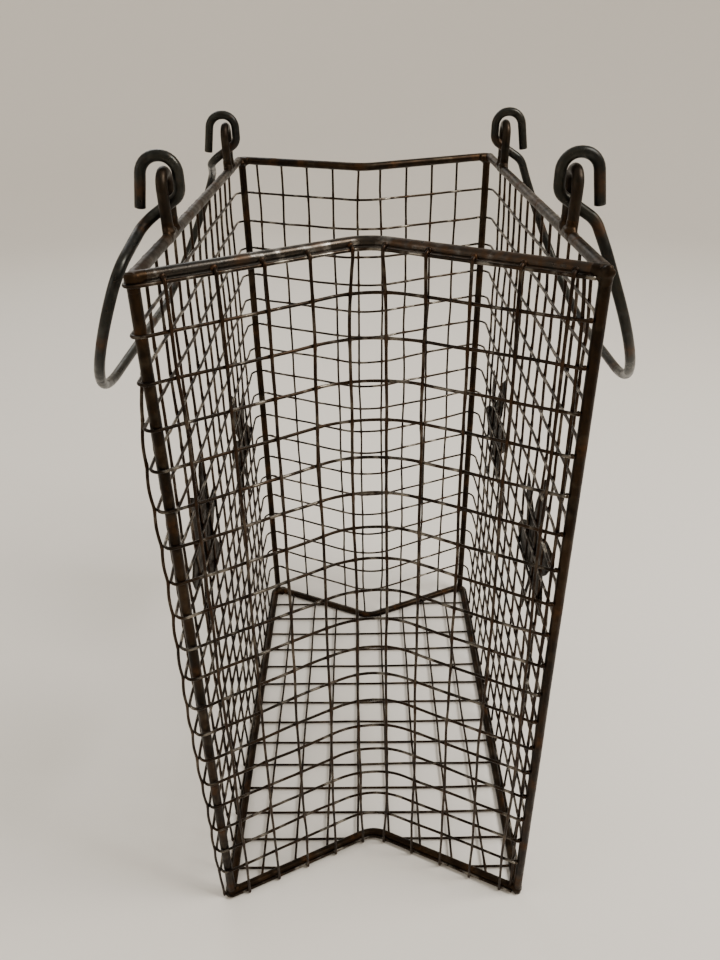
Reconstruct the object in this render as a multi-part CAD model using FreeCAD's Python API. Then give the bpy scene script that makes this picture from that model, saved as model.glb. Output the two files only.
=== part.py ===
"""Tall hourglass wire basket with two swinging bail handles and four leaf ornaments.

Frame: millimetres, +Z up, X across the basket, Y front to back. The origin is under the middle of the
basket, on the surface that it stands on. The outline in plan is a rectangle whose front and back sides
are folded inwards at their middles. Round rods carry welded wire mesh on the outside.
"""

import math
import os

import FreeCAD
import Part

Vector = FreeCAD.Vector
UP = Vector(0, 0, 1)

# ---- driving dimensions
PITCH = 25.4  # square mesh
WIRE_D = 2.0  # mesh wire
ROD_D = 6.4  # frame rods and bails
EYE_D = 6.4  # rod of the hinge eyes
HALF_WIDTH = 111.5  # side rim rods and front posts
FRONT_Y = -188.5  # front posts
BACK_Y = 191.75  # where the side and back rim rods would cross
HEIGHT = 19 * PITCH  # bottom rods to rim rods
FOLD = 53.0  # depth of the inward fold
RIM_FRONT_FOLD = 70.0  # the front rim is folded deeper than the rest
ROD_FOLD_RADIUS = 22.0
RIM_BEND = 5.5  # back corners of the rim rod
OVERRUN = 1.5  # the front rim rod runs this far past the middles of the side rods before it is coped

TOUCH = 0.05  # gap between wires and what they lie on
ROD_R = ROD_D / 2
WIRE_R = WIRE_D / 2
BOTTOM_Z = ROD_R  # the basket stands on its bottom rods
RIM_Z = BOTTOM_Z + HEIGHT
ROW_OUT = ROD_R + WIRE_R + TOUCH  # mesh rows lie on the outside of the rods
UPRIGHT_OUT = ROW_OUT + WIRE_D + TOUCH  # uprights lie outside the rows
FIRST_ROW_DROP = 3.0  # first row below the rim
ROW_SPACING = 24.9
ROWS = 19  # and one more at the bottom rods
SIDE_SHIFT = 9.0  # the side uprights sit this far back of the middle
SIDE_UPRIGHTS = range(-7, 7)
BACK_SHIFT = -7.0
FRONT_SPACING = 22.2  # across the front, whose halves are slanted
SEAM_BEND_Y = FRONT_Y + 18.0  # the rows bend in to the front right post here

# ---- hinge eyes and bails
EYE_Y = 4.5 * PITCH  # either side of the bail's middle
EYE_RISE = 33.5  # hinge line above the rim rods
EYE_TOP_HALF = 9.0
EYE_FOOT_HALF = 6.0
EYE_BEND = 7.8
HINGE_Z = RIM_Z + EYE_RISE
HANG_ANGLE = math.radians(22.8)  # the bails hang this far out from plumb
HANG_OUT = 9.0  # where the plane of a hanging bail starts, out from the hinge line and below it
HANG_DROP = 13.6
BAIL_SHOULDER = 31.6
BAILS = {  # side, middle along Y, half width, depth and corner radius: bent by hand, the two differ
    "left": (-1, 15.0, 156.0, 132.0, 86.0),
    "right": (1, 3.5, 119.0, 141.0, 84.0),
}

# ---- leaves
LEAF_THICKNESS = 1.2
LEAVES = {  # side, Y, drop below the rim and lean towards the back in degrees
    "left_front": (-1, -82.0, 226.0, 24),
    "left_back": (-1, 110.0, 250.0, -16),
    "right_front": (1, -80.0, 238.0, -8),
    "right_back": (1, 108.0, 234.0, -20),
}
STEM_D = 2.6


def fillet(before, corner, after, radius):
    """The ends and the middle of the arc that rounds a corner."""
    come = (corner - before).normalize()
    go = (after - corner).normalize()
    half_turn = come.getAngle(go) / 2
    inwards = (go - come).normalize()
    reach = radius * math.tan(half_turn)
    middle = corner + inwards * (radius / math.cos(half_turn) - radius)
    return corner - come * reach, middle, corner + go * reach


def path(points, radii):
    """Straight runs joined by tangent arcs, as one wire. radii has one value per inner point."""
    edges = []
    here = points[0]
    for before, corner, after, radius in zip(points, points[1:], points[2:], radii):
        start, middle, end = fillet(before, corner, after, radius)
        if (start - here).Length > 1e-4:
            edges.append(Part.LineSegment(here, start).toShape())
        edges.append(Part.Arc(start, middle, end).toShape())
        here = end
    if (points[-1] - here).Length > 1e-4:
        edges.append(Part.LineSegment(here, points[-1]).toShape())
    return Part.Wire(edges)


def bent_rod(points, radii, diameter):
    """A round rod along that path."""
    line = path(points, radii)
    direction = points[1] - points[0]
    circle = Part.Circle(points[0], direction, diameter / 2).toShape()
    solid = line.makePipeShell([Part.Wire([circle])], True, False)
    expected = math.pi * diameter**2 / 4 * line.Length
    if not solid.isValid() or abs(solid.Volume / expected - 1) > 0.01:
        raise ValueError(f"bad sweep: volume {solid.Volume:.1f}, expected {expected:.1f}")
    return solid


def straight_rod(start, end, diameter):
    length = (end - start).Length
    return Part.makeCylinder(diameter / 2, length, start, end - start)


def save(name, solids):
    """Writes one node. Several solids make a group."""
    solids = [s for shape in solids for s in shape.Solids]
    shape = solids[0] if len(solids) == 1 else Part.makeCompound(solids)
    if not shape.isValid():
        raise ValueError(f"{name} is not valid")
    shape.exportStep(os.path.join("parts", name + ".step"))
    print(f"{name}: {len(solids)} solid(s), {shape.Volume / 1000:.2f} cm3")


# ---- plan of the frame
BACK_SIDE_ANGLE = math.atan2(FOLD, HALF_WIDTH)
CORNER_HALF_TURN = (math.pi / 2 + BACK_SIDE_ANGLE) / 2
CORNER_CUT = RIM_BEND / math.cos(CORNER_HALF_TURN) - RIM_BEND
BACK_POST_X = HALF_WIDTH - CORNER_CUT * math.cos(CORNER_HALF_TURN)
BACK_POST_Y = BACK_Y - CORNER_CUT * math.sin(CORNER_HALF_TURN)
SIDES = {"left": -1, "right": 1}
POSTS = {
    "front_left": (-HALF_WIDTH, FRONT_Y),
    "front_right": (HALF_WIDTH, FRONT_Y),
    "back_left": (-BACK_POST_X, BACK_POST_Y),
    "back_right": (BACK_POST_X, BACK_POST_Y),
}


def at(xy, z):
    return Vector(xy[0], xy[1], z)


def folded(left, right, fold_y, z):
    """The three points of a front or back rod: an end, the fold and the other end."""
    return [at(left, z), Vector(0, fold_y, z), at(right, z)]


def front_fold(z):
    """The front is folded deeper towards the rim."""
    share = (z - BOTTOM_Z) / HEIGHT
    return FOLD + (RIM_FRONT_FOLD - FOLD) * share


def largest(shape):
    """What is left of a rod once the stub inside another rod has been cut away."""
    return max(shape.Solids, key=lambda solid: solid.Volume)


def coped(rod, others):
    """A rod cut to the shape of the rods that it is welded to."""
    for other in others:
        rod = rod.cut(other)
    return largest(rod)


def build_frame():
    """Rim, posts and bottom rods."""
    joint_y = BACK_Y - 2 * RIM_BEND
    rim_back = bent_rod(
        [
            Vector(-HALF_WIDTH, joint_y, RIM_Z),
            Vector(-HALF_WIDTH, BACK_Y, RIM_Z),
            Vector(0, BACK_Y - FOLD, RIM_Z),
            Vector(HALF_WIDTH, BACK_Y, RIM_Z),
            Vector(HALF_WIDTH, joint_y, RIM_Z),
        ],
        [RIM_BEND, ROD_FOLD_RADIUS, RIM_BEND],
        ROD_D,
    )
    rim_sides = {
        name: straight_rod(
            Vector(side * HALF_WIDTH, FRONT_Y - ROD_R, RIM_Z),
            Vector(side * HALF_WIDTH, joint_y, RIM_Z),
            ROD_D,
        )
        for name, side in SIDES.items()
    }
    end = (HALF_WIDTH + OVERRUN, FRONT_Y - OVERRUN * RIM_FRONT_FOLD / HALF_WIDTH)
    front_points = folded((-end[0], end[1]), end, FRONT_Y + RIM_FRONT_FOLD, RIM_Z)
    rim_front = coped(bent_rod(front_points, [ROD_FOLD_RADIUS], ROD_D), rim_sides.values())
    save("rim_back_rod", [rim_back])
    save("rim_front_rod", [rim_front])
    for name, rod in rim_sides.items():
        save(f"rim_{name}_rod", [rod])
    rims = [*rim_sides.values(), rim_back, rim_front]

    posts = []
    for name, xy in POSTS.items():
        post = coped(straight_rod(at(xy, BOTTOM_Z - ROD_R), at(xy, RIM_Z), ROD_D), rims)
        posts.append(post)
        save("post_" + name, [post])

    back_end = (BACK_POST_X, BACK_Y - (HALF_WIDTH - BACK_POST_X) * FOLD / HALF_WIDTH)
    bottoms = {
        "front": folded(POSTS["front_left"], POSTS["front_right"], FRONT_Y + FOLD, BOTTOM_Z),
        "back": folded((-back_end[0], back_end[1]), back_end, BACK_Y - FOLD, BOTTOM_Z),
    }
    folded_rods = {}
    for name, points in bottoms.items():
        folded_rods[name] = coped(bent_rod(points, [ROD_FOLD_RADIUS], ROD_D), posts)
        save(f"bottom_{name}_rod", [folded_rods[name]])
    rails = {}
    for name, side in SIDES.items():
        x = side * HALF_WIDTH
        rod = straight_rod(Vector(x, FRONT_Y, BOTTOM_Z), Vector(x, BACK_POST_Y, BOTTOM_Z), ROD_D)
        rails[name] = coped(rod, [*posts, *folded_rods.values()])
        save(f"bottom_{name}_rail", [rails[name]])
    return rim_sides, posts, [*folded_rods.values(), *rails.values()]


# ---- mesh
def offset_corner(before, corner, after, out):
    """A corner of the plan moved outwards, both of its sides by the same amount. The plan runs
    clockwise seen from above, so outwards is to the left."""
    come = (corner - before).normalize()
    go = (after - corner).normalize()
    left_in = UP.cross(come)
    left_out = UP.cross(go)
    bisector = (left_in + left_out).normalize()
    return corner + bisector * (out / bisector.dot(left_in))


def mesh_row(z, rods):
    """One row of the mesh: from the front right post round the front, the left, the back and the right."""
    plan = [
        Vector(HALF_WIDTH, FRONT_Y, z),
        Vector(0, FRONT_Y + front_fold(z), z),
        Vector(-HALF_WIDTH, FRONT_Y, z),
        Vector(-HALF_WIDTH, BACK_Y, z),
        Vector(0, BACK_Y - FOLD, z),
        Vector(HALF_WIDTH, BACK_Y, z),
        Vector(HALF_WIDTH, FRONT_Y, z),
    ]
    corners = [
        offset_corner(before, corner, after, ROW_OUT)
        for before, corner, after in zip(plan, plan[1:], plan[2:])
    ]
    start = plan[0] + UP.cross((plan[1] - plan[0]).normalize()) * ROW_OUT
    seam = [Vector(HALF_WIDTH + ROW_OUT, SEAM_BEND_Y, z), Vector(HALF_WIDTH, FRONT_Y, z)]
    fold_radius = ROD_FOLD_RADIUS - ROW_OUT
    back_radius = RIM_BEND + ROW_OUT
    radii = [fold_radius, ROW_OUT, back_radius, fold_radius, back_radius, ROD_FOLD_RADIUS]
    return coped(bent_rod([start, *corners, *seam], radii, WIRE_D), rods)


def upright(low, high, low_out, high_out):
    """A mesh wire whose ends turn in, over the first row and under the last one. low and high are the
    places on the plan of the rods' middle lines."""
    turn = WIRE_D + TOUCH
    top = UP * (RIM_Z - FIRST_ROW_DROP + turn)
    bottom = UP * (BOTTOM_Z - turn)
    points = [
        high + high_out * (ROD_R + TOUCH) + top,
        high + high_out * UPRIGHT_OUT + top,
        low + low_out * UPRIGHT_OUT + bottom,
        low + low_out * (ROD_R + TOUCH) + bottom,
    ]
    return bent_rod(points, [WIRE_D - TOUCH, WIRE_D - TOUCH], WIRE_D)


def on_fold(x, fold):
    """How deep the folded rods lie at x, and how far they are turned there. The fold is an arc."""
    slope = math.atan2(fold, HALF_WIDTH)
    reach = abs(x)
    side = math.copysign(1, x)
    arc_end = ROD_FOLD_RADIUS * math.sin(slope)
    if reach >= arc_end:
        return fold - reach * math.tan(slope), side * slope
    turn = math.asin(reach / ROD_FOLD_RADIUS)
    arc_middle = fold - ROD_FOLD_RADIUS / math.cos(slope)
    return arc_middle + ROD_FOLD_RADIUS * math.cos(turn), side * turn


def folded_upright(x, low_fold, high_fold, end_y, inwards):
    """An upright of the front (inwards is 1) or the back (-1)."""
    ends = []
    for fold in (low_fold, high_fold):
        depth, turn = on_fold(x, fold)
        point = Vector(x, end_y + inwards * depth, 0)
        outside = Vector(-math.sin(turn), -inwards * math.cos(turn), 0)
        ends.append((point, outside))
    (low, low_out), (high, high_out) = ends
    return upright(low, high, low_out, high_out)


def build_mesh(seam_post, rim_sides, bottom_rods):
    rows = [mesh_row(RIM_Z - FIRST_ROW_DROP, [seam_post, *rim_sides.values()])]
    rows += [mesh_row(RIM_Z - FIRST_ROW_DROP - ROW_SPACING * k, [seam_post]) for k in range(1, ROWS)]
    rows.append(mesh_row(BOTTOM_Z, [seam_post, *bottom_rods]))
    save("mesh_rows", rows)
    front = [
        folded_upright((k + 0.5) * FRONT_SPACING, FOLD, RIM_FRONT_FOLD, FRONT_Y, 1) for k in range(-5, 5)
    ]
    save("mesh_uprights_front", front)
    back_spacing = PITCH * math.cos(BACK_SIDE_ANGLE)
    back = [folded_upright(k * back_spacing + BACK_SHIFT, FOLD, FOLD, BACK_Y, -1) for k in range(-4, 5)]
    save("mesh_uprights_back", back)
    for name, side in SIDES.items():
        out = Vector(side, 0, 0)
        feet = [Vector(side * HALF_WIDTH, k * PITCH + SIDE_SHIFT, 0) for k in SIDE_UPRIGHTS]
        save("mesh_uprights_" + name, [upright(foot, foot, out, out) for foot in feet])


def build_bottom(rods):
    """Cross wires end at the rails, or at the folded rods where those cut in. Long wires lie on top."""
    cross_z = BOTTOM_Z - 1.0
    long_z = cross_z + WIRE_D + TOUCH
    cross = []
    for k in SIDE_UPRIGHTS:
        y = k * PITCH + SIDE_SHIFT
        depth = max(FRONT_Y + FOLD - y, y - BACK_Y + FOLD)
        spans = [(-HALF_WIDTH, HALF_WIDTH)]
        if depth > 0:
            inner = depth * HALF_WIDTH / FOLD
            spans = [(-HALF_WIDTH, -inner), (inner, HALF_WIDTH)]
        for start, end in spans:
            wire = straight_rod(Vector(start, y, cross_z), Vector(end, y, cross_z), WIRE_D)
            cross.append(coped(wire, rods))
    long_wires = []
    for k in range(-4, 4):
        x = (k + 0.5) * PITCH
        depth = on_fold(x, FOLD)[0]
        wire = straight_rod(Vector(x, FRONT_Y + depth, long_z), Vector(x, BACK_Y - depth, long_z), WIRE_D)
        long_wires.append(coped(wire, rods))
    save("bottom_cross_wires", cross)
    save("bottom_long_wires", long_wires)


# ---- hinge eyes and bails
def build_eyes(rim_sides):
    for name, (side, middle, *_) in BAILS.items():
        for place, y in (("front", middle - EYE_Y), ("back", middle + EYE_Y)):
            x = side * HALF_WIDTH
            points = [
                Vector(x, y - EYE_FOOT_HALF, RIM_Z),
                Vector(x, y - EYE_TOP_HALF, HINGE_Z),
                Vector(x, y + EYE_TOP_HALF, HINGE_Z),
                Vector(x, y + EYE_FOOT_HALF, RIM_Z),
            ]
            eye = bent_rod(points, [EYE_BEND, EYE_BEND], EYE_D)
            save(f"eye_{place}_{name}", [coped(eye, [rim_sides[name]])])


def bail_points(side, middle, half_width, depth, corner_radius):
    """From one hook round the grip to the other. Each entry is out, along Y and up from the hinge line."""

    def hanging(y, down):
        out = HANG_OUT + down * math.sin(HANG_ANGLE)
        return out, y, -HANG_DROP - down * math.cos(HANG_ANGLE)

    half = [
        ((15.5, EYE_Y, -18.5), None),
        ((11.5, EYE_Y, 8.6), 10.5),
        ((-8.0, EYE_Y, 8.6), 9.5),
        ((-8.0, EYE_Y, -12.0), 8.0),
        (hanging(EYE_Y, 14.0), 14.0),
        (hanging(half_width, BAIL_SHOULDER), 20.0),
        (hanging(half_width, depth), corner_radius),
    ]
    front = [((o, -y, z), r) for (o, y, z), r in half]
    both = front + list(reversed(half))
    points = [Vector(side * (HALF_WIDTH + o), middle + y, HINGE_Z + z) for (o, y, z), _ in both]
    return points, [r for _, r in both[1:-1]]


def build_bails():
    for name, shape in BAILS.items():
        points, radii = bail_points(*shape)
        save("bail_" + name, [bent_rod(points, radii, ROD_D)])


# ---- leaves
LEAF_HALF = [  # angle from the tip in degrees, and distance from the middle of the blade
    (0, 68.0),
    (10, 52.0),
    (26, 25.0),
    (38, 46.0),
    (48, 60.0),
    (60, 48.0),
    (82, 30.0),
    (98, 43.0),
    (108, 52.0),
    (122, 46.0),
    (138, 41.0),
    (160, 20.0),
]


def leaf_outline():
    half = [(r * math.sin(math.radians(a)), r * math.cos(math.radians(a))) for a, r in LEAF_HALF]
    mirrored = [(-across, up) for across, up in reversed(half[1:])]
    return half + mirrored


def build_leaves():
    """Flat blades that lie on the outside of the side uprights. Each has its stem wire on its face."""
    face = HALF_WIDTH + UPRIGHT_OUT + WIRE_R + TOUCH
    for name, (side, y, drop, lean) in LEAVES.items():
        middle = Vector(side * face, y, RIM_Z - drop)
        tilt = math.radians(lean)
        across_axis = Vector(0, math.cos(tilt), -math.sin(tilt))
        up_axis = Vector(0, math.sin(tilt), math.cos(tilt))
        corners = [middle + across_axis * across + up_axis * up for across, up in leaf_outline()]
        outline = Part.makePolygon([*corners, corners[0]])
        blade = Part.Face(outline).extrude(Vector(side * LEAF_THICKNESS, 0, 0))
        stem_middle = middle + Vector(side * (LEAF_THICKNESS + STEM_D / 2 + TOUCH), 0, 0)
        stem_points = [
            stem_middle + up_axis * 20,
            stem_middle - up_axis * 30,
            stem_middle - up_axis * 70 + across_axis * 10,
        ]
        save("leaf_" + name, [blade])
        save("leaf_stem_" + name, [bent_rod(stem_points, [60.0], STEM_D)])


def main():
    os.makedirs("parts", exist_ok=True)
    rim_sides, posts, bottom_rods = build_frame()
    build_mesh(posts[1], rim_sides, bottom_rods)
    build_bottom(bottom_rods)
    build_eyes(rim_sides)
    build_bails()
    build_leaves()


main()
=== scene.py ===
"""Looks of a tall wire basket with two swinging bails and four leaves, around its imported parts.

Lengths in this file are millimetres in the row frame until a mesh or a lamp is made.
"""

import math

import bmesh
import bpy
import numpy as np
from mathutils import Matrix, Vector, noise


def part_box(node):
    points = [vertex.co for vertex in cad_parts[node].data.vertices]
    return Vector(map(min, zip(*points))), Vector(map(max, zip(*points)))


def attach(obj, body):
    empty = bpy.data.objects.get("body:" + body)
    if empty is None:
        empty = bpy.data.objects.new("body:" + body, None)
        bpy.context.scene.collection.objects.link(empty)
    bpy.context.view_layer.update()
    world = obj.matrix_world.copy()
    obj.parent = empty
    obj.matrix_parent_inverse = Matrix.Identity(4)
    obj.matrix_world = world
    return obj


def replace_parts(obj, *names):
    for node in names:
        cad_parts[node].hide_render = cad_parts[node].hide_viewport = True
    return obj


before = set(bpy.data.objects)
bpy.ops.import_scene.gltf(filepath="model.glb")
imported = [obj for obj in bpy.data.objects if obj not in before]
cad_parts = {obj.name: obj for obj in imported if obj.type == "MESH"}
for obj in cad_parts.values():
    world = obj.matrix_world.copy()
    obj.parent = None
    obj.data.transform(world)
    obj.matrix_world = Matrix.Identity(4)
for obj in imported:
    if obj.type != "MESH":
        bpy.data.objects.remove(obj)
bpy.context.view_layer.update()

MM = 0.001

# ---- driving dimensions
PITCH = 25.4
WIRE_R = 1.0
FOLD = 53.0
RIM_FRONT_FOLD = 70.0
ROD_FOLD_RADIUS = 22.0
MESH_FOLD_RADIUS = 62.0
RIM_BEND = 5.5
ROW_SPACING = 24.9
FIRST_ROW_DROP = 3.0
ROWS = 19
SIDE_SHIFT = 9.0
SIDE_UPRIGHTS = range(-7, 7)
FRONT_SPACING = 22.2
BACK_SHIFT = -7.0
LEFT_BULGE = 1.2  # how far the left wall stands off its front post
CALM = 55.0  # wires follow the rods near their ends and wander further away than this
EYE_Y = 4.5 * PITCH
EYE_TOP_HALF = 9.0
EYE_FOOT_HALF = 6.0
EYE_BEND = 7.8
EYE_RISE = 33.5
HANG_ANGLE = math.radians(22.8)
HANG_OUT = 9.0
HANG_DROP = 13.6
BAIL_SHOULDER = 31.6
BAILS = {  # side, middle along Y, half width, depth and corner radius
    "left": (-1, 15.0, 156.0, 132.0, 86.0),
    "right": (1, 3.5, 119.0, 141.0, 84.0),
}
FRONT_RISE = 4.5  # the front's rows hang askew: they lie this much higher at the right post
SINK = 0.3  # how deep welded wires sink into each other
BOTTOM_SINK = 0.6  # how deep the bottom wires sink into the rods


def node_box(name):
    """Lowest and highest corners of a CAD node, in millimetres."""
    low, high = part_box(name)
    return low / MM, high / MM


# ---- places, from the frame
LEFT_RIM_LOW, LEFT_RIM_HIGH = node_box("rim_left_rod")
ROD_R = (LEFT_RIM_HIGH.x - LEFT_RIM_LOW.x) / 2
HALF_WIDTH = -(LEFT_RIM_HIGH.x + LEFT_RIM_LOW.x) / 2
RIM_Z = (LEFT_RIM_HIGH.z + LEFT_RIM_LOW.z) / 2
FRONT_Y = LEFT_RIM_LOW.y + ROD_R
BACK_Y = LEFT_RIM_HIGH.y + 2 * RIM_BEND
BOTTOM_Z = sum(corner.z for corner in node_box("bottom_left_rail")) / 2
HINGE_Z = RIM_Z + EYE_RISE
EYE_R = (node_box("eye_front_left")[1].x - node_box("eye_front_left")[0].x) / 2
BACK_SLOPE = math.atan2(FOLD, HALF_WIDTH)
CORNER_HALF_TURN = (math.pi / 2 + BACK_SLOPE) / 2
CORNER_CUT = RIM_BEND / math.cos(CORNER_HALF_TURN) - RIM_BEND
BACK_POST_X = HALF_WIDTH - CORNER_CUT * math.cos(CORNER_HALF_TURN)
BACK_POST_Y = BACK_Y - CORNER_CUT * math.sin(CORNER_HALF_TURN)
BACK_ROD_Y = BACK_Y - (HALF_WIDTH - BACK_POST_X) * FOLD / HALF_WIDTH
ROW_OUT = ROD_R + WIRE_R
UPRIGHT_OUT = ROW_OUT + 2 * WIRE_R - SINK
UP = np.array((0.0, 0.0, 1.0))
POSTS = {
    "front_left": (-HALF_WIDTH, FRONT_Y),
    "front_right": (HALF_WIDTH, FRONT_Y),
    "back_left": (-BACK_POST_X, BACK_POST_Y),
    "back_right": (BACK_POST_X, BACK_POST_Y),
}


def vec(x, y, z):
    return np.array((x, y, z), float)


def unit(v):
    return v / np.linalg.norm(v)


def ease(t):
    t = min(max(t, 0.0), 1.0)
    return t * t * (3 - 2 * t)


SEED_STEP = (7.31, 3.17, 11.9)  # noise for one seed is read this far from the next one's


def wander(point, scale, seed):
    """Smooth noise from -1 to 1 at a place."""
    return noise.noise(Vector(point) / scale + Vector([seed * step for step in SEED_STEP]))


def waves(point, sizes, seed=0):
    """Smooth noise in millimetres: a sum of waves, each with its size, scale and own seed."""
    return sum(size * wander(point, scale, seed + own) for size, scale, own in sizes)


# ---- lines
STRAIGHT = 1e-4  # turns below this are no bends
SAME_PLACE = 1e-6
ARC_STEP = 0.2  # radians, the longest step round an arc


def rounded(points, radii, step=2.5):
    """Points along straight runs joined by arcs, about a step apart, with a radius at each bend."""
    found = [points[0]]
    here = points[0]

    def run_to(end):
        length = np.linalg.norm(end - here)
        count = max(1, round(length / step))
        found.extend(here + (end - here) * k / count for k in range(1, count + 1))

    for before, corner, after, radius in zip(points, points[1:], points[2:], radii):
        come = unit(corner - before)
        go = unit(after - corner)
        turn = math.acos(max(-1.0, min(1.0, come.dot(go))))
        if turn < STRAIGHT:
            continue
        start = corner - come * radius * math.tan(turn / 2)
        if np.linalg.norm(start - here) > SAME_PLACE:
            run_to(start)
        inwards = unit(go - come * come.dot(go))
        centre = start + inwards * radius
        count = max(4, round(radius * turn / step), round(turn / ARC_STEP))
        for k in range(1, count + 1):
            angle = turn * k / count
            found.append(centre + radius * (come * math.sin(angle) - inwards * math.cos(angle)))
        here = found[-1]
    if np.linalg.norm(points[-1] - here) > SAME_PLACE:
        run_to(points[-1])
    return np.array(found)


# ---- meshes
def ring_faces(rings, sides, first=0):
    """Four-sided faces between rings of vertices that follow each other."""
    faces = []
    for ring in range(rings - 1):
        for k in range(sides):
            a = first + ring * sides + k
            b = first + ring * sides + (k + 1) % sides
            faces.append((a, a + sides, b + sides, b))
    return faces


def fan(tip, base, sides):
    """Triangles from a tip to the ring of vertices that starts at base."""
    return [(tip, base + k, base + (k + 1) % sides) for k in range(sides)]


def flipped(faces):
    return [(first, *rest[::-1]) for first, *rest in faces]


def placed(name, data):
    made = bpy.data.objects.new(name, data)
    bpy.context.scene.collection.objects.link(made)
    return made


def finished(mesh, name, rust, material, body="basket"):
    """Makes a piece of the object from a mesh. rust says how rusty each vertex is."""
    mesh.polygons.foreach_set("use_smooth", [True] * len(mesh.polygons))
    attribute = mesh.attributes.new("rust", "FLOAT", "POINT")
    attribute.data.foreach_set("value", rust)
    mesh.materials.clear()
    mesh.materials.append(material)
    made = placed(name, mesh)
    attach(made, body)
    return made


class Pile:
    """Vertices and faces that become one piece, with how rusty each vertex is."""

    def __init__(self):
        self.vertices = []
        self.faces = []
        self.rust = []

    def add(self, vertices, faces, rust):
        base = len(self.vertices)
        self.vertices.extend(map(tuple, vertices))
        self.faces.extend(tuple(base + i for i in face) for face in faces)
        self.rust.extend(rust)

    def mesh(self, name):
        mesh = bpy.data.meshes.new(name)
        mesh.from_pydata([Vector(v) * MM for v in self.vertices], [], self.faces)
        mesh.update()
        return mesh

    def piece(self, name, material, slot, body="basket"):
        return finished(self.mesh(name), name, self.rust, material, body)


END_STEPS = ((0.5, 1.0), (0.15, 0.3))  # how far a worn end's rings stand out, and their shrinking


def tube(
    pile, path, radius, sides, rough, rough_scale, seed, ends=(0.35, 0.35), knots=(), rust=0.0
):
    """A round wire or rod along a path. Its section wanders by rough, and ends says how worn its two
    ends are. Each knot is a weld that swells it: (point, reach, extra radius, rust)."""
    path = np.array(path, float)
    tangents = np.gradient(path, axis=0)
    tangents /= np.linalg.norm(tangents, axis=1)[:, None]
    swell = np.zeros(len(path))
    stain = np.full(len(path), float(rust))
    for point, reach, extra, extra_rust in knots:
        near = np.exp(-(np.linalg.norm(path - point, axis=1) / reach) ** 2)
        swell = np.maximum(swell, extra * near)
        stain = np.maximum(stain, extra_rust * near)
    steep = abs(tangents[0][2]) >= 0.9
    side = unit(np.cross(tangents[0], vec(1, 0, 0) if steep else UP))
    rings = []
    for centre, tangent, extra, amount in zip(path, tangents, swell, stain):
        side = unit(side - tangent * side.dot(tangent))
        rings.append((centre, side, np.cross(tangent, side), radius + extra, amount))

    def worn_ring(ring, way, edge, out, shrink):
        centre, side, other, size, amount = ring
        return centre + way * edge * radius * out, side, other, size * (1 - edge * shrink), amount

    sections = [worn_ring(rings[0], -tangents[0], ends[0], *step) for step in END_STEPS]
    sections += rings
    sections += [worn_ring(rings[-1], tangents[-1], ends[1], *step) for step in END_STEPS[::-1]]
    vertices = []
    stains = []
    for centre, side, other, size, amount in sections:
        for j in range(sides):
            angle = 2 * math.pi * j / sides
            outwards = side * math.cos(angle) + other * math.sin(angle)
            here = centre + outwards * size
            vertices.append(here + outwards * rough * wander(here, rough_scale, seed))
            stains.append(amount)
    low = len(vertices)
    faces = flipped(ring_faces(len(sections), sides) + fan(low, 0, sides))
    faces += fan(low + 1, low - sides, sides)
    vertices += [sections[0][0], sections[-1][0]]
    stains += [stain[0], stain[-1]]
    pile.add(vertices, faces, stains)


SPHERE_RINGS = 10
SPHERE_SIDES = 16
LUMP_SCALE = 7.0


def bead(pile, centre, size, axis=(0, 0, 1), lumps=0.18, seed=0, rust=0.5):
    """A lump of weld metal: an uneven ellipsoid. Its half sizes are across, across and along axis."""
    centre = Vector(centre)
    turn = Vector((0, 0, 1)).rotation_difference(Vector(axis))
    vertices = []
    for i in range(1, SPHERE_RINGS):
        polar = math.pi * i / SPHERE_RINGS
        flat = math.sin(polar)
        for j in range(SPHERE_SIDES):
            angle = 2 * math.pi * j / SPHERE_SIDES
            way = Vector((flat * math.cos(angle), flat * math.sin(angle), math.cos(polar)))
            grow = 1 + lumps * wander(way * 10 + centre, LUMP_SCALE, seed)
            vertices.append(centre + turn @ Vector([w * s for w, s in zip(way, size)]) * grow)
    tip = turn @ Vector((0, 0, size[2]))
    top = len(vertices)
    faces = ring_faces(SPHERE_RINGS - 1, SPHERE_SIDES) + fan(top, 0, SPHERE_SIDES)
    faces += flipped(fan(top + 1, top - SPHERE_SIDES, SPHERE_SIDES))
    vertices += [centre + tip, centre - tip]
    pile.add(vertices, faces, [rust] * len(vertices))


WIRE_SIDES = 8
WIRE_ROUGH = (0.05, 5.0)  # size and scale of the wires' unevenness


def wire(pile, path, seed, knots=(), rust=0.12):
    tube(pile, path, WIRE_R, WIRE_SIDES, *WIRE_ROUGH, seed, knots=knots, rust=rust)


# ---- materials
SPECKS = 0.16  # how rusty the specks are that lie all over
RUST_DULLS = 0.25  # rust adds this much roughness
WEAR_SHINES = 0.16  # bare wear takes off this much, times its shine
PIT_HEIGHT = 0.35
RUST_HEIGHT = 0.45
BUMP = 0.55
BUMP_DEPTH = 0.00025  # metres


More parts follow.
